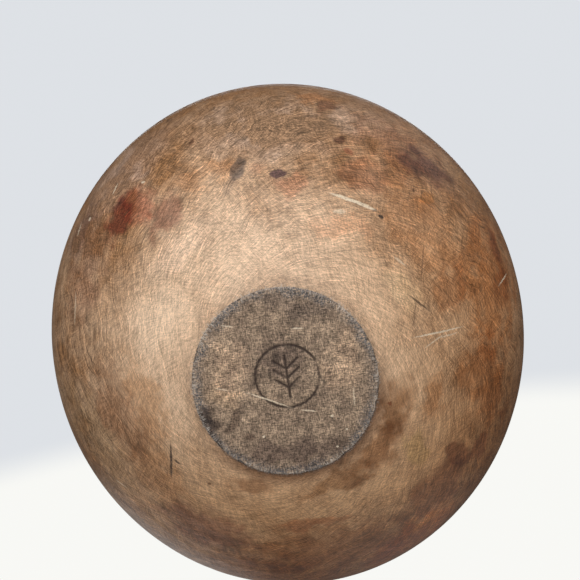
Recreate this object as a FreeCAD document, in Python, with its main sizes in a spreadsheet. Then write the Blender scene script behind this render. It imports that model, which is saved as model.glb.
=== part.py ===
import FreeCAD, Part
import math
import os

import Sketcher
from FreeCAD import Vector

# A kitchen bowl turned from one block of maple. It leaves the lathe round, then dries: wood shrinks
# across the grain and hardly at all along it, so the finished bowl is slightly oval. The foot is
# sanded flat afterwards. Millimetres, +Z up, +Y along the grain, origin under the middle of the foot.

NODE = "turned_bowl"

# The driving dimensions: alias, value, what it is. Those of the wall are as turned, before drying.
DIMENSIONS = (
    ("turned_radius", 165.0, "widest radius, at the rim"),
    ("overall_height", 105.0, "from the foot to the top of the rim"),
    ("rim_roundness", 5.0, "radius of the rounded rim, half the wall there"),
    ("foot_radius", 50.5, "radius of the foot"),
    ("foot_step", 1.2, "how far the foot stands out of the wall"),
    ("wall_start_angle", 18.0, "slope of the wall where it leaves the foot, degrees"),
    ("lower_wall_arc", 260.0, "radius of the wall's lower curve"),
    ("upper_wall_arc", 100.0, "radius of the wall's upper curve"),
    ("floor_thickness", 13.0, "wood over the foot, at the middle"),
    ("hollow_floor_arc", 240.0, "radius of the hollow's floor"),
    ("hollow_wall_arc", 100.0, "radius of the hollow's side"),
    ("sanding_allowance", 1.0, "wood sanded off the foot after drying"),
    ("width_kept", 0.935, "share of the width across the grain that drying leaves"),
)

SANDING_BLOCK_REACH = 2.0      # half the block's side, in foot radii
SANDING_BLOCK_DEPTH = 10.0     # the block's height, in sanding allowances
WIDTH_TOLERANCE = 1e-4         # on the share of the width kept
LEAST_SANDED = 1.0             # mm3 that sanding must take off

START, END, CENTRE = 1, 2, 3
ORIGIN = (-1, START)
VERTICAL_AXIS = -2


def make_sheet(doc):
    """The spreadsheet that drives the bowl."""
    sheet = doc.addObject("Spreadsheet::Sheet", "sizes")
    for row, (alias, value, meaning) in enumerate(DIMENSIONS, start=1):
        sheet.set("A%d" % row, meaning)
        sheet.set("B%d" % row, str(value))
        sheet.setAlias("B%d" % row, alias)
    doc.recompute()
    return sheet


def crossing(first, first_radius, second, second_radius):
    """The point on the right of the line from first to second, at the given distance from each."""
    along = second - first
    reach = (first_radius ** 2 - second_radius ** 2 + along.Length ** 2) / (2 * along.Length)
    side = math.sqrt(first_radius ** 2 - reach ** 2)
    along.normalize()
    return first + along * reach + Vector(along.y, -along.x, 0) * side


def arc(centre, radius, start, end):
    """An arc about centre, anticlockwise, from the direction of start to the direction of end."""
    angles = [math.atan2(point.y - centre.y, point.x - centre.x) for point in (start, end)]
    return Part.ArcOfCircle(Part.Circle(centre, Vector(0, 0, 1), radius), *angles)


def between(centre, towards, radius):
    """The point at radius from centre, in the direction of another point."""
    direction = towards - centre
    return centre + direction.normalize() * radius


def draw_profile(sketch, sheet):
    """Half of the section: foot, wall in two arcs, rounded rim, hollow in two arcs, axis."""
    size = {alias: sheet.get(alias) for alias, _, _ in DIMENSIONS}
    slope = math.radians(size["wall_start_angle"])
    lower, upper, rim = size["lower_wall_arc"], size["upper_wall_arc"], size["rim_roundness"]
    floor, side = size["hollow_floor_arc"], size["hollow_wall_arc"]

    wall_start = Vector(size["foot_radius"], size["foot_step"], 0)
    rim_centre = Vector(size["turned_radius"] - rim, size["overall_height"] - rim, 0)
    lower_centre = wall_start + Vector(-math.sin(slope), math.cos(slope), 0) * lower
    upper_centre = crossing(lower_centre, lower - upper, rim_centre, upper - rim)
    knee = between(lower_centre, upper_centre, lower)
    rim_outside = between(upper_centre, rim_centre, upper)
    floor_centre = Vector(0, size["floor_thickness"] + floor, 0)
    side_centre = crossing(floor_centre, floor - side, rim_centre, side + rim)
    bend = between(floor_centre, side_centre, floor)
    rim_inside = between(side_centre, rim_centre, side)
    floor_middle = Vector(0, size["floor_thickness"], 0)
    foot_middle = Vector(0, -size["sanding_allowance"], 0)
    foot_corner = Vector(size["foot_radius"], -size["sanding_allowance"], 0)

    foot_face = sketch.addGeometry(Part.LineSegment(foot_middle, foot_corner))
    foot_side = sketch.addGeometry(Part.LineSegment(foot_corner, wall_start))
    lower_wall = sketch.addGeometry(arc(lower_centre, lower, wall_start, knee))
    upper_wall = sketch.addGeometry(arc(upper_centre, upper, knee, rim_outside))
    rim_round = sketch.addGeometry(arc(rim_centre, rim, rim_outside, rim_inside))
    hollow_side = sketch.addGeometry(arc(side_centre, side, bend, rim_inside))
    hollow_floor = sketch.addGeometry(arc(floor_centre, floor, floor_middle, bend))
    axis_line = sketch.addGeometry(Part.LineSegment(floor_middle, foot_middle))
    slope_end = wall_start + Vector(math.cos(slope), math.sin(slope), 0) * size["foot_radius"]
    slope_line = sketch.addGeometry(Part.LineSegment(wall_start, slope_end), True)

    joined = (
        (foot_face, END, foot_side, START),
        (foot_side, END, lower_wall, START),
        (hollow_floor, START, axis_line, START),
        (axis_line, END, foot_face, START),
    )
    for ends in joined:
        sketch.addConstraint(Sketcher.Constraint("Coincident", *ends))
    smooth = (
        (slope_line, START, lower_wall, START),
        (lower_wall, END, upper_wall, START),
        (upper_wall, END, rim_round, START),
        (rim_round, END, hollow_side, END),
        (hollow_side, START, hollow_floor, END),
    )
    for ends in smooth:
        sketch.addConstraint(Sketcher.Constraint("Tangent", *ends))
    sketch.addConstraint(Sketcher.Constraint("Horizontal", foot_face))
    sketch.addConstraint(Sketcher.Constraint("Vertical", foot_side))
    for point in ((axis_line, START), (axis_line, END), (hollow_floor, CENTRE)):
        sketch.addConstraint(Sketcher.Constraint("PointOnObject", *point, VERTICAL_AXIS))

    def dimension(name, kind, where, formula=None):
        """A dimension of the sketch, bound to the sheet's cell of that name or to a formula."""
        formula = formula or "sizes." + name
        value = FreeCAD.Units.Quantity(str(sheet.evalExpression(formula))).Value
        if kind == "Angle":
            value = math.radians(value)
            formula += " * 1 deg"
        index = sketch.addConstraint(Sketcher.Constraint(kind, *where, value))
        sketch.renameConstraint(index, name)
        sketch.setExpression("Constraints." + name, formula)

    dimension("foot_radius", "DistanceX", (*ORIGIN, foot_side, END))
    dimension("foot_step", "DistanceY", (*ORIGIN, foot_side, END))
    dimension("sanding_allowance", "DistanceY", (foot_face, START, *ORIGIN))
    dimension("floor_thickness", "DistanceY", (*ORIGIN, hollow_floor, START))
    dimension("wall_start_angle", "Angle", (slope_line,))
    dimension("slope_line_length", "Distance", (slope_line,), "sizes.foot_radius")
    dimension("lower_wall_arc", "Radius", (lower_wall,))
    dimension("upper_wall_arc", "Radius", (upper_wall,))
    dimension("rim_roundness", "Radius", (rim_round,))
    dimension("hollow_wall_arc", "Radius", (hollow_side,))
    dimension("hollow_floor_arc", "Radius", (hollow_floor,))
    dimension("rim_reach", "DistanceX", (*ORIGIN, rim_round, CENTRE),
              "sizes.turned_radius - sizes.rim_roundness")
    dimension("rim_level", "DistanceY", (*ORIGIN, rim_round, CENTRE),
              "sizes.overall_height - sizes.rim_roundness")


def turn_on_lathe(doc, sheet):
    """The round bowl as it leaves the lathe: the profile turned about the vertical axis."""
    body = doc.addObject("PartDesign::Body", "round_bowl")
    plane = [f for f in body.Origin.OriginFeatures if f.Role == "XZ_Plane"][0]
    sketch = body.newObject("Sketcher::SketchObject", "profile")
    sketch.AttachmentSupport = [(plane, "")]
    sketch.MapMode = "FlatFace"
    draw_profile(sketch, sheet)
    doc.recompute()
    turning = body.newObject("PartDesign::Revolution", "turning")
    turning.Profile = sketch
    turning.ReferenceAxis = (sketch, ["V_Axis"])
    turning.Angle = 360.0
    doc.recompute()
    return body


def dry(doc, round_bowl):
    """The bowl after drying: narrower across the grain, the same along it."""
    oval = doc.addObject("Part::Scale", "dried_bowl")
    oval.Base = round_bowl
    oval.Uniform = False
    oval.setExpression("XScale", "sizes.width_kept")
    oval.YScale = 1.0
    oval.ZScale = 1.0
    return oval


def sand_foot(doc, oval):
    """The finished bowl: the foot sanded back to a true plane at Z = 0."""
    block = doc.addObject("Part::Box", "sanding_block")
    reach = "%g mm * sizes.foot_radius" % SANDING_BLOCK_REACH
    depth = "%g mm * sizes.sanding_allowance" % SANDING_BLOCK_DEPTH
    block.setExpression("Length", "2 * " + reach)
    block.setExpression("Width", "2 * " + reach)
    block.setExpression("Height", depth)
    block.setExpression("Placement.Base.x", "-" + reach)
    block.setExpression("Placement.Base.y", "-" + reach)
    block.setExpression("Placement.Base.z", "-" + depth)
    finished = doc.addObject("Part::Cut", "sanded_bowl")
    finished.Label = NODE
    finished.Base = oval
    finished.Tool = block
    return finished


def true_width(shape):
    """The width in X of the surface itself, not of a spline's control points."""
    return shape.optimalBoundingBox(False, False).XLength


def check(doc, sheet, round_bowl, oval, finished):
    """Stop if any object failed, or if drying or sanding didn't change the bowl as they should."""
    for item in doc.Objects:
        if "Invalid" in item.State or "Error" in item.State:
            raise RuntimeError("%s: %s" % (item.Name, item.State))
        shape = getattr(item, "Shape", None)
        if shape is not None and item.TypeId.startswith("Part") and (shape.isNull() or not shape.isValid()):
            raise RuntimeError("%s has no valid shape" % item.Name)
    kept = true_width(oval.Shape) / true_width(round_bowl.Shape)
    if abs(kept - sheet.get("width_kept")) > WIDTH_TOLERANCE:
        raise RuntimeError("drying kept %.4f of the width" % kept)
    if finished.Shape.Volume > oval.Shape.Volume - LEAST_SANDED:
        raise RuntimeError("sanding the foot took nothing off")
    if len(finished.Shape.Solids) != 1:
        raise RuntimeError("the bowl is %d solids" % len(finished.Shape.Solids))


def main():
    doc = FreeCAD.newDocument("bowl")
    sheet = make_sheet(doc)
    round_bowl = turn_on_lathe(doc, sheet)
    oval = dry(doc, round_bowl)
    finished = sand_foot(doc, oval)
    doc.recompute()
    check(doc, sheet, round_bowl, oval, finished)
    os.makedirs("parts", exist_ok=True)
    finished.Shape.exportStep("parts/%s.step" % NODE)
    box = finished.Shape.optimalBoundingBox(False, False)
    print("%s %.1f x %.1f x %.1f mm, %.0f cm3" % (
        NODE, box.XLength, box.YLength, box.ZLength, finished.Shape.Volume / 1000))
    return doc


main()
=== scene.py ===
import math
import random

import bpy
import numpy as np
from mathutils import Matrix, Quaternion, Vector, noise


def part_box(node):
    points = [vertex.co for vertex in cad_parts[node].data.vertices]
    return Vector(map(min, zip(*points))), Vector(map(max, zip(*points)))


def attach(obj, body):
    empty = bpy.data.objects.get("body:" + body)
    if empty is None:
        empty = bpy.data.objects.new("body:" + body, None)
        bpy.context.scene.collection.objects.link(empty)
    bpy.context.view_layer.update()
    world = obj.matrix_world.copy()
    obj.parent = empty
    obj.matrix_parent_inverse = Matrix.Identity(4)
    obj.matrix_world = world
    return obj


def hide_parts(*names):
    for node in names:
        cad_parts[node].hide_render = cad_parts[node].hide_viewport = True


# An old turned wooden bowl, seen from underneath. Metres in the frame's axes: +Z up out of the
# mouth, +Y along the grain. Lengths written in millimetres are multiplied by MM.
MM = 0.001
NODE = "turned_bowl"
BODY = "root"

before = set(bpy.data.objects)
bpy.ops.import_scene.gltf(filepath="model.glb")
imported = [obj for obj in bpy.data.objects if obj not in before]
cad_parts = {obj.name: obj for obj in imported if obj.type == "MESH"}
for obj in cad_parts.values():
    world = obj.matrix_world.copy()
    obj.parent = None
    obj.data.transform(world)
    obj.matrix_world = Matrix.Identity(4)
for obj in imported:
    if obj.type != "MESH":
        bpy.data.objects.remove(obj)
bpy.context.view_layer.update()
low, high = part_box(NODE)
HALF_WIDTH = high.x
HALF_LENGTH = high.y
HEIGHT = high.z

# ---------------------------------------------------------------------------------------- camera

CAMERA_FROM_FOOT = 0.3521          # distance from the middle of the foot
CAMERA_AZIMUTH = math.radians(11.34)
CAMERA_ELEVATION = math.radians(-74.50)
CAMERA_AIM = Vector((0.0092, -0.0471, 0.0))
CAMERA_ROLL = math.radians(-3.56)
LENS_MM = 42.2
SENSOR_MM = 36.0


def make_camera():
    """A hand-held close view, almost straight at the foot."""
    data = bpy.data.cameras.new("camera")
    data.lens = LENS_MM
    data.sensor_width = SENSOR_MM
    data.clip_start = 0.01
    data.clip_end = 50.0
    camera = bpy.data.objects.new("camera", data)
    bpy.context.scene.collection.objects.link(camera)
    level = math.cos(CAMERA_ELEVATION)
    camera.location = CAMERA_FROM_FOOT * Vector((
        math.sin(CAMERA_AZIMUTH) * level,
        -math.cos(CAMERA_AZIMUTH) * level,
        math.sin(CAMERA_ELEVATION),
    ))
    ahead = CAMERA_AIM - camera.location
    camera.rotation_mode = "QUATERNION"
    camera.rotation_quaternion = Quaternion(ahead, CAMERA_ROLL) @ ahead.to_track_quat("-Z", "Y")
    bpy.context.scene.camera = camera
    return camera


make_camera()

# ----------------------------------------------------------------------------------------- shape

RIM_ROUNDNESS = 5.0 * MM
FOOT_RADIUS = 50.5 * MM
FOOT_STEP = 1.2 * MM
WALL_START_SLOPE = math.radians(18.0)
LOWER_WALL_ARC = 260.0 * MM
UPPER_WALL_ARC = 100.0 * MM
FLOOR_THICKNESS = 13.0 * MM
HOLLOW_FLOOR_ARC = 240.0 * MM
HOLLOW_WALL_ARC = 100.0 * MM

TURNED_RADIUS = HALF_LENGTH
WALL_SHRINK = np.array((HALF_WIDTH / HALF_LENGTH, 1.0))
FOOT_SHRINK = np.array((0.955, 0.985))     # the thick foot dried less oval than the thin wall
SHRINK_BLEND = (52.0 * MM, 95.0 * MM)      # radii between which one passes into the other

GRID = 128                                  # cells across the foot, and across the floor inside
SPOKES = 4 * GRID
INNER_GRID_RADIUS = 78.0 * MM
FINE_CENTRE = 0.72                          # cell size at the middle of the foot, against an even grid
LOWER_STEPS, UPPER_STEPS, RIM_STEPS, SIDE_STEPS, FLOOR_STEPS = 42, 34, 14, 24, 6
ARRIS_RADIUS = 0.25 * MM
ARRIS_CUT = 0.3                             # how near its middle point is to each face, in radii
WALL_LEAD = 0.002                           # radians of the lower arc left to the foot's step
RIM_BLEND = 3.0 * MM                        # wall over which the outside's look becomes the inside's


def fade(values, start, stop):
    """0 at start, 1 at stop, smooth between."""
    share = np.clip((values - start) / (stop - start), 0, 1)
    return share * share * (3 - 2 * share)


def crossing(first, first_radius, second, second_radius):
    """The point on the right of the line from first to second, at the given distance from each."""
    along = second - first
    length = np.linalg.norm(along)
    reach = (first_radius ** 2 - second_radius ** 2 + length ** 2) / (2 * length)
    side = math.sqrt(first_radius ** 2 - reach ** 2)
    along = along / length
    return first + along * reach + np.array((along[1], -along[0])) * side


def heading(centre, point):
    """The direction from centre to point, as an angle."""
    return math.atan2(point[1] - centre[1], point[0] - centre[0])


def arc(centre, radius, start, stop, count):
    """Points along an arc, the first left out so that arcs join without repeats."""
    angles = np.linspace(start, stop, count + 1)[1:]
    return [centre + radius * np.array((math.cos(a), math.sin(a))) for a in angles]


def profile():
    """The section as (radius, height) points, from the foot's edge, over the rim, to the floor inside."""
    wall_start = np.array((FOOT_RADIUS, FOOT_STEP))
    rim = np.array((TURNED_RADIUS - RIM_ROUNDNESS, HEIGHT - RIM_ROUNDNESS))
    tangent = np.array((-math.sin(WALL_START_SLOPE), math.cos(WALL_START_SLOPE)))
    lower = wall_start + tangent * LOWER_WALL_ARC
    upper = crossing(lower, LOWER_WALL_ARC - UPPER_WALL_ARC, rim, UPPER_WALL_ARC - RIM_ROUNDNESS)
    floor = np.array((0.0, FLOOR_THICKNESS + HOLLOW_FLOOR_ARC))
    side = crossing(floor, HOLLOW_FLOOR_ARC - HOLLOW_WALL_ARC, rim, HOLLOW_WALL_ARC + RIM_ROUNDNESS)
    knee = heading(lower, upper)
    bend = heading(floor, side)
    rim_outside = heading(upper, rim)
    rim_inside = heading(side, rim)
    inner_edge = -math.acos(INNER_GRID_RADIUS / HOLLOW_FLOOR_ARC)

    arris = ARRIS_RADIUS
    points = [
        np.array((FOOT_RADIUS - arris, 0.0)),
        np.array((FOOT_RADIUS - ARRIS_CUT * arris, ARRIS_CUT * arris)),
        np.array((FOOT_RADIUS, arris)),
        np.array((FOOT_RADIUS, FOOT_STEP - arris)),
        np.array((FOOT_RADIUS + ARRIS_CUT * arris, FOOT_STEP)),
    ]
    points += arc(lower, LOWER_WALL_ARC, heading(lower, wall_start) + WALL_LEAD, knee, LOWER_STEPS)
    points += arc(upper, UPPER_WALL_ARC, knee, rim_outside, UPPER_STEPS)
    rim_top = len(points) + RIM_STEPS // 2 - 1
    points += arc(rim, RIM_ROUNDNESS, rim_outside, rim_inside + math.pi, RIM_STEPS)
    points += arc(side, HOLLOW_WALL_ARC, rim_inside, bend, SIDE_STEPS)
    points += arc(floor, HOLLOW_FLOOR_ARC, bend, inner_edge, FLOOR_STEPS)
    return np.array(points), rim_top


def disc_grid():
    """A square grid of GRID cells pressed into a unit disc: its points, and the ring round it."""
    steps = np.linspace(-1, 1, GRID + 1)
    across, up = np.meshgrid(steps, steps, indexing="ij")
    wide = np.abs(across) >= np.abs(up)
    radius = np.where(wide, across, up)
    safe = np.where(radius == 0, 1, radius)
    angle = np.where(wide, math.pi / 4 * up / safe, math.pi / 2 - math.pi / 4 * across / safe)
    points = np.stack((radius * np.cos(angle), radius * np.sin(angle)), axis=-1).reshape(-1, 2)
    index = np.arange((GRID + 1) ** 2).reshape(GRID + 1, GRID + 1)
    ring = np.concatenate((index[-1, :-1], index[:0:-1, -1], index[0, :0:-1], index[:-1, 0]))
    return points, index, ring


def quads(index):
    """The cells of a grid of vertex numbers."""
    return np.stack((index[:-1, :-1], index[1:, :-1], index[1:, 1:], index[:-1, 1:]), -1).reshape(-1, 4)


def oval(radius, angle):
    """Where drying leaves a point of the round bowl, as x and y."""
    share = fade(radius, *SHRINK_BLEND)[..., None]
    kept = FOOT_SHRINK * (1 - share) + WALL_SHRINK * share
    return kept * np.stack((radius * np.cos(angle), radius * np.sin(angle)), axis=-1)


def oval_inside(radius, angle):
    """As oval, for the floor inside, which dried with the wall."""
    return WALL_SHRINK * np.stack((radius * np.cos(angle), radius * np.sin(angle)), axis=-1)


def foot_disc(radius, angle, edge):
    """The foot, with finer cells in its middle: points, normals and radii."""
    reach = (FINE_CENTRE * radius + (1 - FINE_CENTRE) * radius ** 3) * edge
    points = np.column_stack((oval(reach, angle), np.zeros(len(radius))))
    normals = np.tile((0.0, 0.0, -1.0), (len(radius), 1))
    return points, normals, reach


def turned_rings(section, ring_angle):
    """Wall, rim and hollow as rings: points, outward normals, and distances along the section."""
    step = np.diff(section, axis=0)
    run = np.concatenate(([0.0], np.cumsum(np.hypot(step[:, 0], step[:, 1]))))
    slope = np.gradient(section, axis=0)
    slope /= np.linalg.norm(slope, axis=1)[:, None]
    radius, angle = np.meshgrid(section[1:, 0], ring_angle, indexing="ij")
    height = np.repeat(section[1:, 1:], SPOKES, 1)[..., None]
    points = np.concatenate((oval(radius, angle), height), -1)
    out = np.repeat(slope[1:, 1:], SPOKES, 1)
    down = np.repeat(-slope[1:, :1], SPOKES, 1)
    normals = np.stack((out * np.cos(angle) / WALL_SHRINK[0], out * np.sin(angle), down), -1)
    return points, normals, run


def hollow_floor(radius, angle, edge):
    """The floor inside, out to its edge: points, normals and radii."""
    reach = radius * edge
    lift = HOLLOW_FLOOR_ARC - np.sqrt(HOLLOW_FLOOR_ARC ** 2 - reach ** 2)
    points = np.column_stack((oval_inside(reach, angle), FLOOR_THICKNESS + lift))
    normals = np.column_stack((-points[:, :2] / HOLLOW_FLOOR_ARC, np.ones(len(points))))
    return points, normals, reach


def bowl_surface():
    """Vertices, faces, outward normals, distances along the section, and that distance at the rim."""
    section, rim_top = profile()
    disc, index, ring = disc_grid()
    ring_angle = np.arctan2(disc[ring, 1], disc[ring, 0])

    disc_radius = np.hypot(disc[:, 0], disc[:, 1])
    disc_angle = np.arctan2(disc[:, 1], disc[:, 0])
    foot_edge, inner_edge = section[0, 0], section[-1, 0]
    foot, foot_normal, foot_radius = foot_disc(disc_radius, disc_angle, foot_edge)
    wall, wall_normal, run = turned_rings(section, ring_angle)
    inner, inner_normal, inner_radius = hollow_floor(disc_radius, disc_angle, inner_edge)

    keep = np.ones(len(disc), bool)
    keep[ring] = False
    inner_index = np.full(len(disc), -1)
    wall_count = wall.shape[0] * SPOKES
    inner_index[keep] = len(disc) + wall_count + np.arange(keep.sum())
    last_ring = len(disc) + (wall.shape[0] - 1) * SPOKES + np.arange(SPOKES)
    inner_index[ring] = last_ring

    wall_index = len(disc) + np.arange(wall_count).reshape(-1, SPOKES)
    rows = np.vstack((ring, wall_index))
    closed = np.hstack((rows, rows[:, :1]))

    vertices = np.concatenate((foot, wall.reshape(-1, 3), inner[keep]))
    normals = np.concatenate((foot_normal, wall_normal.reshape(-1, 3), inner_normal[keep]))
    normals /= np.linalg.norm(normals, axis=1)[:, None]
    faces = np.concatenate((
        quads(index)[:, ::-1],
        quads(closed)[:, ::-1],
        quads(inner_index[index.ravel()].reshape(index.shape)),
    ))
    along = np.concatenate((
        foot_radius - foot_edge,
        np.repeat(run[1:], SPOKES),
        run[-1] + inner_edge - inner_radius[keep],
    ))
    return vertices, faces, normals, along, run[rim_top]


def bumps(points, size, seed):
    """Smooth noise at the points, about -1 to 1, with features of the given size."""
    shift = Vector((seed * 7.3, seed * 3.1, seed * 5.7))
    return np.array([noise.noise(Vector(point) / size + shift) for point in points])


def bar(points, start, end):
    """Distance from the points to the line from start to end, in the plane of the foot."""
    start, end = np.array(start), np.array(end)
    along = end - start
    share = np.clip((points - start) @ along / (along @ along), 0, 1)
    return np.linalg.norm(points - start - share[:, None] * along, axis=1)


MARK_CENTRE = np.array((1.5, -3.0)) * MM
MARK_RING = 16.5 * MM
MARK_STROKE = 0.62 * MM                    # half the width of a burnt line
MARK_DEPTH = 0.35 * MM
STEM_HALF = 11 * MM                        # half the length of the sprig's stem
LEAF_LEVELS = (6.0, 1.0, -4.0)             # where pairs of leaves leave the stem, in millimetres
LEAF_REACH = 6.5
LEAF_DROP = 5.0


def burnt_mark(points):
    """A plain ring with a sprig in it, as a burning iron would leave it: 1 in a line, 0 outside."""
    spot = points[:, :2] - MARK_CENTRE
    distance = np.abs(np.hypot(spot[:, 0], spot[:, 1]) - MARK_RING)
    distance = np.minimum(distance, bar(spot, (0, STEM_HALF), (0, -STEM_HALF)))
    for level in LEAF_LEVELS:
        for side in (-1, 1):
            tip = (side * LEAF_REACH * MM, (level - LEAF_DROP) * MM)
            leaf = bar(spot, (0, level * MM), tip)
            distance = np.minimum(distance, leaf)
    line = 1 - fade(distance, 0.6 * MARK_STROKE, 1.5 * MARK_STROKE)
    left = bumps(points, 9 * MM, 11) + 0.6 - 20.0 * (spot[:, 0] + spot[:, 1])
    worn = fade(left, -0.2, 0.35)          # fainter in places, and towards +X and +Y
    return np.where(points[:, 2] < 0.5 * MM, line * worn, 0)


UNEVENNESS = 0.12 * MM                     # broad waves in the surface: mean depth, and size
UNEVENNESS_SIZE = 45 * MM
TOOL_RING_DEPTH = 0.05 * MM
TOOL_RING_SPREAD = 1.7 * MM                # wall that one radian of a tool ring's wave takes
TOOL_RING_DRIFT = 60 * MM                  # size of the noise that bends the rings
FOOT_HOLLOW = 0.20 * MM                    # how far the foot's middle has gone in

# Dents: seed, number, and the ranges of radius and depth in millimetres.
WALL_DENTS = (21, 60, (1.6, 4.0), (0.05, 0.25))
RIM_DENTS = (22, 16, (2.0, 5.0), (0.2, 0.9))
EDGE_DENTS = (23, 22, (1.2, 3.5), (0.2, 0.7))


def dents(points, where, seed, count, size, depth):
    """Small hollows round random vertices, from those where a mask is true."""
    centres = np.flatnonzero(where)
    chance = random.Random(seed)
    lost = np.zeros(len(points))
    for _ in range(count):
        centre = points[chance.choice(centres)]
        radius = chance.uniform(*size) * MM
        deep = chance.uniform(*depth) * MM
        distance = np.linalg.norm((points - centre) * (1, chance.uniform(0.5, 1), 1), axis=1)
        lost = np.maximum(lost, deep * (1 - fade(distance, 0, radius)))
    return lost


def wear(points, along, mark):
    """How deep each point of the surface has gone in, by turning, use and age."""
    rim = points[:, 2] > HEIGHT - 2.5 * MM
    edge = np.abs(along) < 1.0 * MM
    wall = (along > 4 * MM) & ~rim
    rings = np.sin(along / TOOL_RING_SPREAD + 2.0 * bumps(points, TOOL_RING_DRIFT, 2))
    lost = UNEVENNESS * (1 + bumps(points, UNEVENNESS_SIZE, 1))
    lost += TOOL_RING_DEPTH * (1 + rings) * (along > 0)
    lost += FOOT_HOLLOW * fade(-along, 2 * MM, 45 * MM) * (points[:, 2] < 1 * MM)
    lost += MARK_DEPTH * mark
    lost += dents(points, wall, *WALL_DENTS)
    lost += dents(points, rim, *RIM_DENTS)
    lost += dents(points, edge, *EDGE_DENTS)
    return lost


UV_RADIUS = 0.285
UV_MIDDLES = (0.293, 0.707)                 # of the outside's disc and the inside's, in both u and v


def unwrap(mesh, vertices, faces, along, rim_run):
    """A UV map of two discs, the outside and the inside, each unrolled from its middle."""
    reach = FOOT_RADIUS + along
    rim_reach = FOOT_RADIUS + rim_run
    angle = np.arctan2(vertices[:, 1] / HALF_LENGTH, vertices[:, 0] / HALF_WIDTH)
    turn = np.stack((np.cos(angle), np.sin(angle)), axis=-1) * UV_RADIUS
    outer = UV_MIDDLES[0] + turn * (reach / rim_reach)[:, None]
    inner = UV_MIDDLES[1] + turn * ((reach.max() - reach) / (reach.max() - rim_reach))[:, None]
    outside = along[faces].max(axis=1) < rim_run + 0.01 * MM
    corners = faces.ravel()
    places = np.where(np.repeat(outside, 4)[:, None], outer[corners], inner[corners])
    layer = mesh.uv_layers.new(name="OFBake")
    layer.data.foreach_set("uv", places.ravel().astype(np.float32))


def make_bowl():
    """The whole bowl as one closed skin, worn inwards from the turned shape."""
    vertices, faces, normals, along, rim_run = bowl_surface()
    inside = np.clip((along - rim_run) / RIM_BLEND + 0.5, 0, 1)
    mark = burnt_mark(vertices)
    vertices = vertices - normals * wear(vertices, along, mark)[:, None]
    mesh = bpy.data.meshes.new("bowl")
    mesh.from_pydata(vertices.tolist(), [], faces.tolist())
    mesh.update()
    unwrap(mesh, vertices, faces, along, rim_run)
    for name, values in (("along", along), ("inside", inside), ("mark", mark)):
        layer = mesh.attributes.new(name, "FLOAT", "POINT")
        layer.data.foreach_set("value", values.astype(np.float32))
    mesh.polygons.foreach_set("use_smooth", np.ones(len(faces), bool))
    bowl = bpy.data.objects.new("bowl", mesh)
    bowl.visible_diffuse = False            # so that it throws no warm light on the floor
    bpy.context.scene.collection.objects.link(bowl)
    return bowl


# -------------------------------------------------------------------------------------- material


class Tree:
    """Short calls that add shader nodes and join them."""

    def __init__(self, tree):
        self.tree = tree

    def node(self, kind, inputs=(), **settings):
        made = self.tree.nodes.new("ShaderNode" + kind)
        for name, value in settings.items():
            setattr(made, name, value)
        for name, value in dict(inputs).items():
            self.feed(made.inputs[name], value)
        return made

    def feed(self, socket, value):
        if isinstance(value, bpy.types.NodeSocket):
            self.tree.links.new(value, socket)
        else:
            socket.default_value = value

    def math(self, operation, *values, clamp=False):
        made = self.node("Math", enumerate(values), operation=operation, use_clamp=clamp)
        return made.outputs[0]

    def product(self, first, *others):
        """All the values multiplied."""
        for other in others:
            first = self.math("MULTIPLY", first, other)
        return first

    def swing(self, value, noise, amount, clamp=False):
        """The value moved up and down by a noise that lies about 0.5."""
        moved = self.product(self.math("SUBTRACT", noise, 0.5), amount)
        return self.math("ADD", value, moved, clamp=clamp)

    def vector(self, operation, *values):
        made = self.node("VectorMath", enumerate(values), operation=operation)
        return made.outputs["Value" if operation in ("LENGTH", "DOT_PRODUCT") else "Vector"]

    def scale(self, vector, factor):
        made = self.node("VectorMath", {0: vector, "Scale": factor}, operation="SCALE")
        return made.outputs[0]

    def join(self, x, y, z):
        return self.node("CombineXYZ", {0: x, 1: y, 2: z}).outputs[0]

    def mix(self, share, first, second, kind="MIX"):
        """Mixes two colours."""
        made = self.node("Mix", data_type="RGBA", blend_type=kind)
        for socket, value in ((made.inputs[0], share), (made.inputs[6], first), (made.inputs[7], second)):
            self.feed(socket, value)
        return made.outputs[2]

    def noise(self, where, scale, detail=2.0, roughness=0.5, distortion=0.0):
        made = self.node("TexNoise", {"Vector": where, "Scale": scale, "Detail": detail,
                                      "Roughness": roughness, "Distortion": distortion})
        return made.outputs[0]

    def fade(self, value, start, stop, low=0.0, high=1.0):
        """low at start, high at stop, smooth between."""
        made = self.node("MapRange", {0: value, 1: start, 2: stop, 3: low, 4: high},
                         interpolation_type="SMOOTHSTEP")
        return made.outputs[0]

    def attribute(self, name):
        return self.node("Attribute", attribute_name=name).outputs["Fac"]


def rgb(red, green, blue):
    return (red, green, blue, 1.0)


# Every mark below is an ellipse on the underside, in millimetres from the middle of the foot: x, y,
# half length, half width, turn in degrees from +X towards +Y, then what it does to the wood.

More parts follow.
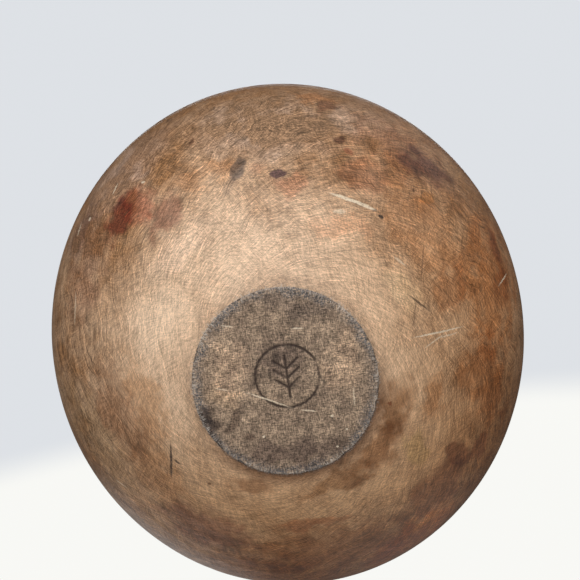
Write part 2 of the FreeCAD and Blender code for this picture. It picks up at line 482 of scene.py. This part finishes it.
# Broad stains and worn places on the wall, with soft edges: tint and strength.
SOFT_STAINS = (
    (-82, -95, 17, 10, -55, (0.56, 0.30, 0.32), 0.95),   # a red stain with paler tails
    (-68, -99, 15, 11, -50, (0.90, 0.60, 0.58), 0.9),
    (-54, -92, 18, 10, -50, (0.66, 0.52, 0.52), 0.9),
    (75, -112, 35, 18, 40, (0.90, 0.80, 0.78), 0.8),     # dark purple brown near the rim
    (95, -98, 25, 11, 40, (0.42, 0.34, 0.37), 0.95),
    (132, -46, 14, 6, 70, (0.60, 0.48, 0.48), 0.8),
    (118, -88, 24, 6, 60, (1.08, 1.12, 1.05), 0.7),
    (54, 24, 26, 12, -75, (0.48, 0.37, 0.28), 0.95),
    (75, 25, 16, 10, -80, (0.80, 0.64, 0.50), 0.8),      # darker round the foot, most towards +Y
    (42, 45, 27, 14, -45, (0.56, 0.44, 0.34), 0.95),
    (22, 60, 25, 9, -15, (0.62, 0.52, 0.42), 0.9),
    (-78, 5, 32, 17, 80, (0.80, 0.68, 0.57), 0.85),
    (-80, 50, 28, 18, 60, (0.86, 0.76, 0.66), 0.85),
    (-25, 55, 18, 7, 15, (0.62, 0.52, 0.45), 0.85),
    (20, -136, 80, 26, 2, (1.08, 1.28, 1.68), 0.95),     # bluish grey, in part the light there
    (-80, -118, 52, 18, -38, (1.05, 1.20, 1.62), 0.95),
    (-110, -92, 24, 9, -55, (0.82, 0.86, 1.06), 0.8),
    (-105, -70, 42, 17, -70, (0.75, 0.69, 0.71), 0.9),   # handled brown along the sides
    (-95, 10, 38, 18, 75, (0.72, 0.62, 0.56), 0.85),
    (122, -25, 50, 28, -85, (0.95, 0.74, 0.56), 0.9),    # old oil, orange brown
    (84, -66, 40, 18, 55, (1.02, 0.90, 0.80), 0.8),
    (95, -30, 18, 12, -80, (0.88, 0.73, 0.62), 0.8),
    (128, -24, 14, 8, -80, (0.78, 0.62, 0.50), 0.8),
    (110, 25, 40, 20, 85, (0.90, 0.70, 0.54), 0.8),
    (75, 85, 32, 18, -40, (0.64, 0.50, 0.42), 0.9),
    (10, 112, 75, 30, 5, (0.66, 0.53, 0.42), 0.95),
    (60, 119, 42, 17, -33, (1.30, 0.95, 0.50), 0.9),     # orange, in part light from beneath
    (-58, 86, 34, 19, 25, (0.58, 0.45, 0.43), 0.9),
    (5, 86, 24, 5, 0, (0.74, 0.54, 0.44), 0.8),
    (66, 50, 16, 10, 70, (0.90, 0.94, 0.76), 0.7),       # greenish clouds
    (68, -38, 16, 10, 60, (1.15, 1.22, 1.20), 0.8),
    (63, -115, 9, 6, 30, (0.86, 0.92, 0.86), 0.7),
    (-118, 30, 52, 20, 70, (0.90, 0.95, 0.94), 0.8),
    (56, -98, 18, 11, 20, (0.84, 0.68, 0.64), 0.8),      # reddish clouds
    (44, -141, 9, 6, 10, (0.75, 0.60, 0.58), 0.8),
    (1, -112, 9, 6, 0, (0.92, 0.80, 0.78), 0.7),
    (-30, -110, 22, 9, -10, (1.18, 1.04, 0.92), 0.7),    # worn paler by hands
    (16, -100, 13, 7, 5, (1.08, 0.84, 0.78), 0.7),
    (42, -74, 18, 8, 15, (1.20, 1.02, 0.94), 0.7),
    (-60, -50, 40, 20, -65, (1.10, 1.14, 1.18), 0.8),
    (-45, -76, 26, 11, -35, (1.12, 1.14, 1.20), 0.7),
    (38, -149, 16, 4, 10, (1.25, 1.00, 0.78), 0.8),
)

# Smaller spots on the wall, with firm ragged edges.
SPOTS = (
    (-10, -111, 9, 5, -60, (0.36, 0.40, 0.50), 0.9),      # a grey smudge
    (-16, -103, 6, 3, -60, (0.78, 0.80, 0.84), 0.7),
    (11, -106, 6.5, 2.6, 5, (0.20, 0.16, 0.28), 0.9),     # an ink spot
    (47, -120, 4.5, 2.5, 10, (0.50, 0.40, 0.42), 0.85),
    (51, -113, 4.0, 2.5, 30, (0.66, 0.44, 0.44), 0.8),
    (-35, -131, 3.0, 2.2, -60, (0.48, 0.40, 0.38), 0.9),
    (84, -67, 7.0, 4.0, 20, (0.68, 0.72, 0.76), 0.75),
    (91, -82, 6.0, 4.0, 0, (1.35, 1.15, 0.85), 0.7),
    (83, -87, 1.6, 1.2, 60, (0.35, 0.28, 0.28), 0.9),
    (52, 20, 2.2, 1.6, 0, (0.45, 0.25, 0.20), 0.8),
    (-49, 53, 1.6, 1.2, 0, (0.35, 0.28, 0.25), 0.9),
    (91, 64, 14, 9, 50, (0.58, 0.44, 0.38), 0.9),         # a dried spill
    (105, 66, 13, 9, -60, (0.66, 0.48, 0.42), 0.8),
)

# The foot: paler where it has rubbed, darker where grime stays.
FOOT_STAINS = (
    (-28, -12, 20, 14, -80, (1.50, 1.45, 1.40), 0.9),
    (-32, 5, 12, 9, 10, (1.40, 1.35, 1.25), 0.7),
    (32, -5, 22, 12, -80, (1.45, 1.40, 1.35), 0.9),
    (0, -12, 16, 13, 5, (0.60, 0.58, 0.62), 0.85),
    (12, -38, 24, 7, 12, (0.66, 0.66, 0.70), 0.8),
    (0, 38, 32, 11, 5, (0.50, 0.47, 0.50), 0.9),
    (-42, 20, 16, 6, 62, (0.22, 0.20, 0.22), 0.95),
    (-29, 16, 6, 4, -30, (0.48, 0.45, 0.45), 0.9),
    (-23, 27, 5, 4, 10, (0.55, 0.50, 0.50), 0.8),
)

# Scratches and specks that show fresh wood, and how strongly.
PALE_SCRATCHES = (
    (47, -87, 14, 1.1, 27, 1.0),
    (54, -83, 8, 1.0, 30, 0.9),
    (40, -82, 4, 1.5, 10, 0.6),
    (68, -52, 5, 0.7, 45, 0.5),
    (84, -11, 18, 0.6, 3, 0.85),
    (81, -7, 8, 0.5, -20, 0.6),
    (89, -8, 8, 0.5, 0, 0.6),
    (132, -28, 6, 0.6, -30, 0.8),
    (-84, -112, 4, 0.6, -60, 0.7),
    (-65, -113, 1.3, 0.9, 0, 0.8),
    (-103, -97, 1.5, 0.9, -60, 0.8),
    (-112, -92, 5, 0.6, -70, 0.6),
    (-116, -48, 12, 0.7, -80, 0.4),
    (-107, 59, 5, 0.6, 35, 0.6),
    (-10, 8, 15, 0.55, 27, 0.8),
    (10, 16.5, 5, 0.5, 12, 0.8),
    (-33, -1, 4, 0.5, 20, 0.7),
    (-25, -33, 4, 0.5, 15, 0.6),
    (10, -27, 4, 0.5, 5, 0.7),
    (21.5, 21, 1.1, 0.8, 0, 1.0),
    (22, 37.5, 0.9, 0.7, 0, 1.0),
    (28, 29, 0.8, 0.6, 0, 0.9),
    (-15, 27, 1.1, 0.8, 0, 1.0),
    (34, 12, 6, 0.5, -85, 0.6),
)

# Dark lines and pits: the drying crack, old scratches full of grime.
DARK_LINES = (
    (-68.5, 38.5, 14, 0.9, -78, 0.95),
    (-65, 39, 2.5, 0.9, 45, 0.9),
    (75, -29, 9, 0.7, 45, 0.8),
    (81, -50, 12, 0.5, -75, 0.5),
    (72, -24, 8, 0.5, -75, 0.5),
    (62, -76, 2.2, 1.1, 40, 1.0),
    (59, -80, 1.7, 0.8, 20, 0.9),
)

FRESH_WOOD = rgb(0.82, 0.69, 0.52)
WORN = rgb(0.74, 0.525, 0.358)
BROWN = rgb(0.275, 0.139, 0.061)
OLD_GRIME = rgb(0.055, 0.035, 0.026)
FOOT_DARK = rgb(0.135, 0.093, 0.066)
FOOT_PALE = rgb(0.38, 0.275, 0.190)
FOOT_BAND = rgb(0.098, 0.100, 0.108)
ARRIS = rgb(0.60, 0.54, 0.48)
BURNT = rgb(0.030, 0.017, 0.013)
HOLLOW_WORN = rgb(0.50, 0.325, 0.185)
HOLLOW_BROWN = rgb(0.25, 0.14, 0.070)


# Broad fades across the wall: axis, where each starts and ends in millimetres, and its tint. They are
# patina and, in part, the uneven light that falls on the real bowl.
WALL_FADES = (
    (1, -10.0, 85.0, (0.80, 0.66, 0.49)),
    (1, 85.0, 145.0, (0.95, 0.76, 0.52)),
    (0, 15.0, 105.0, (0.96, 0.84, 0.70)),
)

# Spirals of streaks that cross the circling ones: slope, fineness, spacing and share of the whole.
CROSSING_STREAKS = (
    (-0.45, 95.0, 0.13, 0.36),
    (1.1, 130.0, 0.12, 0.28),
)


class Skin:
    """The places and directions on the bowl that the material's layers share, in millimetres."""

    def __init__(self, t):
        self.where = t.scale(t.node("TexCoord").outputs["Object"], 1 / MM)
        self.along = t.product(t.attribute("along"), 1 / MM)
        self.inside = t.attribute("inside")
        self.axes = t.node("SeparateXYZ", {0: self.where}).outputs
        flat = t.vector("MULTIPLY", self.where, (1 / WALL_SHRINK[0], 1.0, 0.0))
        self.round = t.vector("NORMALIZE", flat)
        self.reach = t.vector("LENGTH", flat)
        self.fine = t.noise(self.where, 0.95, 4, 0.75)
        self.mottle = t.noise(self.where, 0.075, 3, 0.55, 0.3)
        self.clouds = t.noise(self.where, 0.020, 3, 0.5, 0.4)
        self.streaks = self.make_streaks(t)
        self.hairs = self.spiral(t, -0.6, 110.0, 0.07, 1, 0.5)
        self.torn = t.product(t.fade(self.streaks, 0.40, 0.60, 0.82, 1.22),
                              t.fade(self.mottle, 0.36, 0.64, 0.62, 1.42))
        self.pushed = self.shifted(t, 0.07, 22.0)
        self.bent = self.shifted(t, 0.010, 30.0)
        self.ragged = self.shifted(t, 0.24, 4.5)
        self.shaken = self.shifted(t, 0.30, 1.1)

    def shifted(self, t, scale, reach):
        """The place, pushed about by noise of that scale, mostly by a tenth of reach or less."""
        push = t.node("TexNoise", {"Vector": self.where, "Scale": scale, "Detail": 3.0}).outputs["Color"]
        push = t.vector("SUBTRACT", push, (0.5, 0.5, 0.5))
        return t.vector("ADD", self.where, t.scale(push, reach))

    def spiral(self, t, slope, fineness, spacing, detail, roughness):
        """Streaks along a spiral: its slope, their fineness round the bowl and spacing up the wall."""
        wound = t.product(t.math("LOGARITHM", self.reach, math.e), 1 / slope)
        wound = t.math("ADD", wound, t.product(self.clouds, 0.4))
        turned = t.node("VectorRotate", {"Vector": self.round, "Angle": wound}, rotation_type="Z_AXIS")
        rise = t.join(0.0, 0.0, t.product(self.along, spacing))
        place = t.vector("ADD", t.scale(turned.outputs[0], fineness), rise)
        return t.noise(place, 1.0, detail, roughness)

    def make_streaks(self, t):
        """Sanding and rubbing marks: most run nearly round the bowl, some cross them."""
        level = t.product(t.swing(self.along, t.noise(self.where, 0.03, 1), 16.0), 1.7)
        circling = t.vector("ADD", t.scale(self.round, 15.0), t.join(0.0, 0.0, level))
        total = t.product(t.noise(circling, 1.0, 2, 0.75), 0.36)
        for slope, fineness, spacing, share in CROSSING_STREAKS:
            crossing_streaks = self.spiral(t, slope, fineness, spacing, 2, 0.7)
            total = t.math("ADD", total, t.product(crossing_streaks, share))
        return total


def grey(t, value):
    return t.join(value, value, value)


ANY_HEIGHT = 1e6                            # so tall that an ellipse reaches the skin at any height


def patch(t, skin, where, ellipse, start, stop, strength):
    """An ellipse, torn if a skin is given: strength in its middle, 0 outside. Millimetres, degrees."""
    x, y, long, wide, turn = ellipse
    placed = t.node("Mapping", {
        "Vector": where,
        "Location": (x, y, 0.0),
        "Rotation": (0.0, 0.0, math.radians(turn)),
        "Scale": (long, wide, ANY_HEIGHT),
    }, vector_type="TEXTURE").outputs[0]
    ball = t.node("TexGradient", {"Vector": placed}, gradient_type="SPHERICAL").outputs[1]
    if skin:
        ball = t.product(ball, skin.torn)
    return t.fade(ball, start, stop, 0.0, strength)


def tinted(t, colour, share, tint):
    return t.mix(share, colour, rgb(*tint), "MULTIPLY")


def lines(t, where, table):
    """All the scratches of a table in one mask."""
    total = None
    for *ellipse, strength in table:
        one = patch(t, None, where, ellipse, 0.0, 0.45, strength)
        total = one if total is None else t.math("MAXIMUM", total, one)
    return total


def wall_patina(t, skin):
    """How brown the outside is, 0 to 1: more towards the rim and the ends of the grain."""
    ends = t.math("ABSOLUTE", t.math("DIVIDE", skin.axes[1], HALF_LENGTH / MM))
    patina = t.fade(skin.along, 12.0, 110.0, 0.12, 0.80)
    patina = t.math("ADD", patina, t.product(ends, 0.22))
    patina = t.swing(patina, skin.clouds, 1.1)
    return t.swing(patina, skin.mottle, 0.8, clamp=True)


def corner_grime_and_shade(t, skin):
    """Grime, and painted shade from the foot's step, in the corner round the foot, thickest on the side
    towards +Y.
    """
    side = t.fade(t.vector("DOT_PRODUCT", skin.round, (0.3, 0.95, 0.0)), -0.1, 0.7)
    return t.product(t.fade(skin.along, 12.0, 1.5, 0.0, 0.95), t.math("MAXIMUM", side, 0.35))


def wall_colour(t, skin, patina):
    """The outside: worn pale to brown, stained, and dark by the foot and the rim; parts of the fades,
    stains and dark places are painted light and shade.
    """
    colour = t.mix(patina, WORN, BROWN)
    for axis, start, stop, tint in WALL_FADES:
        colour = tinted(t, colour, t.fade(skin.axes[axis], start, stop, 0.0, 0.9), tint)
    for *ellipse, tint, strength in SOFT_STAINS:
        colour = tinted(t, colour, patch(t, skin, skin.pushed, ellipse, 0.0, 0.6, strength), tint)
    for *ellipse, tint, strength in SPOTS:
        colour = tinted(t, colour, patch(t, skin, skin.ragged, ellipse, 0.10, 0.42, strength), tint)
    # Grime and painted shade in the corner round the foot, darkest on the +Y side.
    colour = tinted(t, colour, corner_grime_and_shade(t, skin), (0.32, 0.25, 0.21))
    # Dirt from hands near the rim. It also stands for the shade that the real bowl's outline has.
    near_rim = t.fade(skin.along, 140.0, 158.0, 0.0, 0.6)
    return tinted(t, colour, near_rim, (0.45, 0.38, 0.33))


def foot_colour(t, skin):
    """The foot: grey-brown grime in open grain, darkest in a ragged band along its edge."""
    blotch = t.noise(skin.where, 0.10, 5, 0.6, 0.3)
    colour = t.mix(t.fade(blotch, 0.22, 0.78), FOOT_DARK, FOOT_PALE)
    ragged = t.swing(skin.along, blotch, 12.0)
    patchy = t.fade(skin.mottle, 0.62, 0.44, 0.25, 0.85)
    band = t.product(t.fade(ragged, -7.0, -2.5), t.fade(skin.fine, 0.58, 0.48), patchy)
    colour = t.mix(band, colour, FOOT_BAND)
    for *ellipse, tint, strength in FOOT_STAINS:
        colour = tinted(t, colour, patch(t, skin, skin.pushed, ellipse, 0.0, 0.6, strength), tint)
    return colour


def frayed_edge(t, skin):
    """Pale torn fibres across the foot's edge, and its rubbed arris."""
    spread = t.join(0.0, 0.0, t.product(skin.along, 0.30))
    fibres = t.noise(t.vector("ADD", t.scale(skin.round, 85.0), spread), 1.0, 2, 0.7)
    off_edge = t.math("ABSOLUTE", skin.along)
    frays = t.product(t.fade(fibres, 0.50, 0.62), t.fade(off_edge, 3.8, 0.6))
    arris = t.product(t.fade(off_edge, 1.0, 0.3), t.fade(skin.fine, 0.46, 0.58, 0.0, 0.8))
    patchy = t.fade(skin.mottle, 0.42, 0.58, 0.35, 1.0)
    return t.product(t.math("MAXIMUM", frays, arris), patchy)


def foot_fibres(t, skin):
    """Short fibres and saw marks in the foot, along the grain and across it."""
    with_grain = t.noise(t.vector("MULTIPLY", skin.where, (2.2, 0.30, 1.0)), 1.0, 3, 0.8)
    across = t.noise(t.vector("MULTIPLY", skin.where, (0.30, 2.4, 1.0)), 1.0, 3, 0.8)
    return t.product(t.math("ADD", with_grain, across), 0.5)


def foot_skin(t, skin, fibres):
    """The foot's colour, with its fibres and specks."""
    colour = t.mix(1.0, foot_colour(t, skin), grey(t, t.fade(fibres, 0.40, 0.62, 0.35, 1.9)), "MULTIPLY")
    return t.mix(1.0, colour, grey(t, t.fade(skin.fine, 0.34, 0.64, 0.70, 1.36)), "MULTIPLY")


def knife_cuts(t, skin):
    """Fine straight cuts in the floor inside, in three directions, fewer towards the side."""
    cuts = 0.0
    for turn in (20.0, 75.0, 140.0):
        angle = math.radians(turn)
        turned = t.node("VectorRotate", {"Vector": skin.where, "Angle": angle}, rotation_type="Z_AXIS")
        stretched = t.vector("MULTIPLY", turned.outputs[0], (0.80, 0.022, 0.0))
        cuts = t.math("MAXIMUM", cuts, t.fade(t.noise(stretched, 1.0, 1.0), 0.70, 0.76))
    return t.product(cuts, t.fade(skin.reach, 135.0, 70.0), skin.inside)


def hollow_colour(t, skin, grain):
    """The inside: oiled and darker in the bottom, paler up the side, with the grain showing."""
    share = t.swing(skin.clouds, skin.mottle, 0.5)
    share = t.math("ADD", share, t.fade(skin.reach, 150.0, 20.0, -0.15, 0.2), clamp=True)
    light = t.product(
        t.fade(grain, 0.36, 0.64, 0.76, 1.16),
        t.fade(skin.fine, 0.32, 0.66, 0.94, 1.05),
        t.fade(skin.streaks, 0.38, 0.62, 0.92, 1.07),
    )
    return t.mix(1.0, t.mix(share, HOLLOW_WORN, HOLLOW_BROWN), grey(t, light), "MULTIPLY")


def wall_light(t, skin, patina, grain):
    """Light and dark on the outside: streaks, pores, pale and dark hairlines, less near the rim."""
    light = t.product(
        t.fade(skin.streaks, 0.38, 0.62, 0.62, 1.42),
        t.fade(skin.fine, 0.32, 0.66, 0.78, 1.20),
        t.fade(skin.hairs, 0.64, 0.72, 1.0, 1.4),
        t.fade(skin.hairs, 0.36, 0.28, 1.0, 0.65),
        t.fade(grain, 0.35, 0.65, 0.90, 1.08),
    )
    contrast = t.math("ADD", 0.80, t.product(patina, 0.75))
    return t.math("POWER", light, t.product(contrast, t.fade(skin.along, 95.0, 150.0, 1.0, 0.5)))


def wall_skin(t, skin, grain):
    """The outside's colour, with its streaks."""
    patina = wall_patina(t, skin)
    light = grey(t, wall_light(t, skin, patina, grain))
    return t.mix(1.0, wall_colour(t, skin, patina), light, "MULTIPLY")


def scratches(t, skin, table):
    """A table's scratches, on the outside only and broken up."""
    outside = t.math("SUBTRACT", 1.0, skin.inside)
    broken = t.fade(skin.fine, 0.39, 0.51, 0.40, 1.0)
    return t.product(lines(t, skin.shaken, table), outside, broken)


def relief(t, skin, on_foot, fibres, cut_away):
    """The bump: streaks on the wall, faint inside, fibres on the foot, and every cut."""
    rubbed = t.math("ADD", skin.streaks, t.product(skin.fine, 0.3))
    wall = t.product(rubbed, t.fade(skin.inside, 0.0, 1.0, 1.0, 0.2))
    height = t.mix(on_foot, grey(t, wall), grey(t, fibres))
    height = t.math("SUBTRACT", height, t.product(cut_away, 0.5))
    return t.node("Bump", {"Height": height, "Strength": 0.45, "Distance": 0.5 * MM}).outputs[0]


def old_maple():
    """Bare maple darkened by age and hands: patina, stains, sanding streaks, scratches and grime, with
    some light and shade painted into its colour.
    """
    material = bpy.data.materials.new("old_maple")
    material.use_nodes = True
    material.node_tree.nodes.clear()
    t = Tree(material.node_tree)
    skin = Skin(t)

    grain = t.noise(t.vector("MULTIPLY", skin.bent, (0.42, 0.014, 0.12)), 1.0, 4, 0.62)
    fibres = foot_fibres(t, skin)
    dark = scratches(t, skin, DARK_LINES)
    pale = scratches(t, skin, PALE_SCRATCHES)
    cuts = knife_cuts(t, skin)
    on_foot = t.fade(t.swing(skin.along, skin.fine, 5.0), 0.9, -0.3)

    colour = t.mix(skin.inside, wall_skin(t, skin, grain), hollow_colour(t, skin, grain))
    colour = t.mix(on_foot, colour, foot_skin(t, skin, fibres))
    colour = t.mix(t.product(frayed_edge(t, skin), 0.75), colour, ARRIS)
    colour = t.mix(t.product(t.attribute("mark"), 0.92), colour, BURNT)
    colour = t.mix(dark, colour, OLD_GRIME)
    colour = t.mix(pale, colour, FRESH_WOOD)
    colour = tinted(t, colour, t.product(cuts, 0.7), (0.50, 0.42, 0.36))

    bump = relief(t, skin, on_foot, fibres, t.math("ADD", t.math("ADD", dark, pale), cuts))
    rough = t.math("ADD", t.fade(skin.streaks, 0.36, 0.64, 0.60, 0.44), t.product(on_foot, 0.2))
    surface = t.node("BsdfPrincipled", {"Base Color": colour, "Roughness": rough, "Normal": bump,
                                        "Specular IOR Level": 0.35})
    t.node("OutputMaterial", {"Surface": surface.outputs[0]})
    return material


# ----------------------------------------------------------------------------------------- stage


def make_world():
    """A pale studio: the backdrop seen directly, and a dim soft light from all round."""
    world = bpy.data.worlds.new("studio")
    world.use_nodes = True
    world.node_tree.nodes.clear()
    t = Tree(world.node_tree)
    seen = t.node("LightPath").outputs["Is Camera Ray"]
    way = t.node("SeparateXYZ", {0: t.node("TexCoord").outputs["Generated"]}).outputs
    # In the directions that a view from below looks along, part of the backdrop is a white table.
    table = t.product(t.fade(way[1], 0.275, 0.325), t.fade(way[2], 0.3, 0.6))
    backdrop = t.mix(table, rgb(0.73, 0.755, 0.79), rgb(0.94, 0.94, 0.91))
    shown = t.node("Background", {"Color": backdrop, "Strength": 1.0}).outputs[0]
    ambient = t.node("Background", {"Color": rgb(0.95, 0.97, 1.0), "Strength": 0.10}).outputs[0]
    mixed = t.node("MixShader", {0: seen, 1: ambient, 2: shown}).outputs[0]
    t.node("OutputWorld", {"Surface": mixed})
    bpy.context.scene.world = world


FLOOR_HALF = 6.0
FLOOR_GAP = 0.3 * MM                        # keeps the floor clear of the foot
FLOOR_FADES = (0.5, 1.8)                    # distances from the foot's middle between which it fades out


def make_floor():
    """A plain pale floor under the foot, clear when seen from below."""
    half = FLOOR_HALF
    corners = [(-half, -half, 0), (half, -half, 0), (half, half, 0), (-half, half, 0)]
    mesh = bpy.data.meshes.new("floor")
    mesh.from_pydata(corners, [], [(0, 1, 2, 3)])
    floor = bpy.data.objects.new("floor", mesh)
    floor.location.z = -FLOOR_GAP
    floor.visible_diffuse = False
    floor.visible_glossy = False
    floor.visible_shadow = False
    material = bpy.data.materials.new("pale_floor")
    material.use_nodes = True
    material.node_tree.nodes.clear()
    t = Tree(material.node_tree)
    geometry = t.node("NewGeometry").outputs
    far = t.fade(t.vector("LENGTH", geometry["Position"]), *FLOOR_FADES)
    away = t.math("MAXIMUM", geometry["Backfacing"], far)
    matt = t.node("BsdfDiffuse", {"Color": rgb(0.80, 0.80, 0.79)}).outputs[0]
    clear = t.node("BsdfTransparent").outputs[0]
    mixed = t.node("MixShader", {0: away, 1: matt, 2: clear}).outputs[0]
    t.node("OutputMaterial", {"Surface": mixed})
    mesh.materials.append(material)
    bpy.context.scene.collection.objects.link(floor)


def make_light(name, azimuth, elevation, distance, size, power, colour):
    """A round soft light, aimed at the middle of the bowl. Angles in degrees, as for the camera."""
    data = bpy.data.lights.new(name, "AREA")
    data.shape = "DISK"
    data.size = size
    data.energy = power
    data.color = colour
    light = bpy.data.objects.new(name, data)
    bpy.context.scene.collection.objects.link(light)
    level = math.cos(math.radians(elevation))
    way = Vector((
        math.sin(math.radians(azimuth)) * level,
        -math.cos(math.radians(azimuth)) * level,
        math.sin(math.radians(elevation)),
    ))
    light.location = Vector((0, 0, HEIGHT / 2)) + way * distance
    light.rotation_mode = "QUATERNION"
    light.rotation_quaternion = (-way).to_track_quat("-Z", "Y")
    light.visible_camera = False


def make_lights():
    """The window's light on the underside, one light over the mouth, and three round the sides."""
    make_light("window", -8, -57, 1.1, 0.7, 11.0, (1.0, 0.98, 0.95))
    make_light("overhead", 0, 84, 1.5, 1.3, 22.0, (1.0, 0.99, 0.97))
    make_light("front_right", 50, 18, 1.6, 1.0, 3.5, (0.98, 0.99, 1.0))
    make_light("back_left", 215, 25, 1.6, 1.0, 4.0, (1.0, 0.98, 0.95))
    make_light("table", 160, 4, 1.3, 1.2, 3.0, (1.0, 0.95, 0.88))


# ----------------------------------------------------------------------------------------- build

bowl = make_bowl()
bowl.data.materials.append(old_maple())
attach(bowl, BODY)
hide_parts(NODE)
make_world()
make_floor()
make_lights()
bpy.context.scene.view_settings.view_transform = "Standard"
